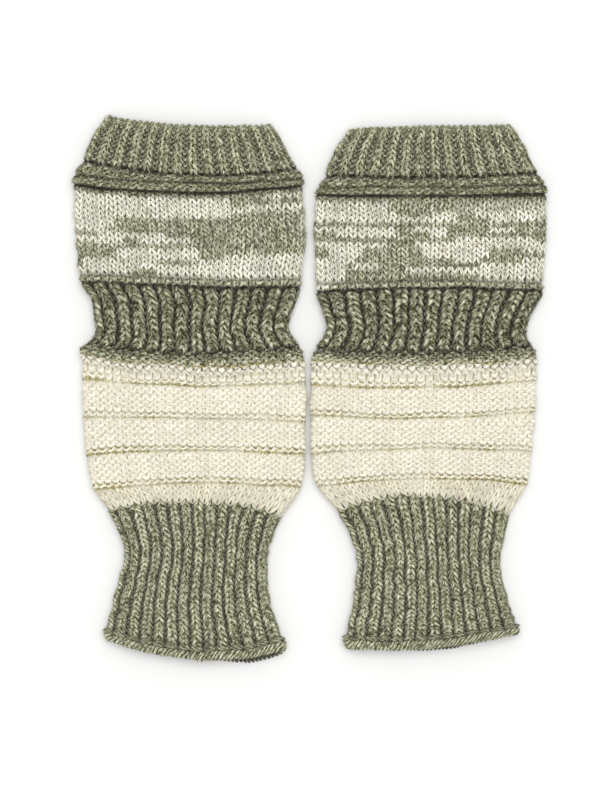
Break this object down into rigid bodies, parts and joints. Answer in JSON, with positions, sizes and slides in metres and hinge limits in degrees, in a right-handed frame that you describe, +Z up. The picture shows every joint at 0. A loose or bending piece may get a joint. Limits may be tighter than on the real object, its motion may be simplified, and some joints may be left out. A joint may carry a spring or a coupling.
{
  "type": "pair of knitted fingerless gloves",
  "caption": "Pair of long fingerless knitted gloves laid flat side by side, with ribbed tops, waists and wrists, a patchy marl band and a welted cream band.",
  "frame": {"origin": "centre of the pair's box, on the surface that the gloves lie on", "axes": "+X across the pair, from the left glove to the right glove as seen from above; +Y along the gloves, from the wrist edges to the wide top edges; +Z up off the surface"},
  "size_m": [0.2124, 0.2444, 0.0072],
  "materials": {
    "olive_marl_yarn": "matt, slightly fuzzy knitted wool blend in olive marl",
    "patchy_marl_yarn": "matt stockinette in cream and olive marl with patchy level streaks",
    "dark_olive_yarn": "matt, thicker rib in darker olive marl",
    "cream_yarn": "soft matt cream knitting"
  },
  "bodies": {
    "root": {"left_top_rib": "olive_marl_yarn", "left_purl_ridges": "olive_marl_yarn", "left_marl_band": "patchy_marl_yarn", "left_waist_rib": "dark_olive_yarn", "left_turn_ridge": "olive_marl_yarn", "left_cream_band": "cream_yarn", "left_wrist_rib": "olive_marl_yarn", "left_cast_off_edge": "olive_marl_yarn", "right_top_rib": "olive_marl_yarn", "right_purl_ridges": "olive_marl_yarn", "right_marl_band": "patchy_marl_yarn", "right_waist_rib": "dark_olive_yarn", "right_turn_ridge": "olive_marl_yarn", "right_cream_band": "cream_yarn", "right_wrist_rib": "olive_marl_yarn", "right_cast_off_edge": "olive_marl_yarn"}
  },
  "joints": []
}
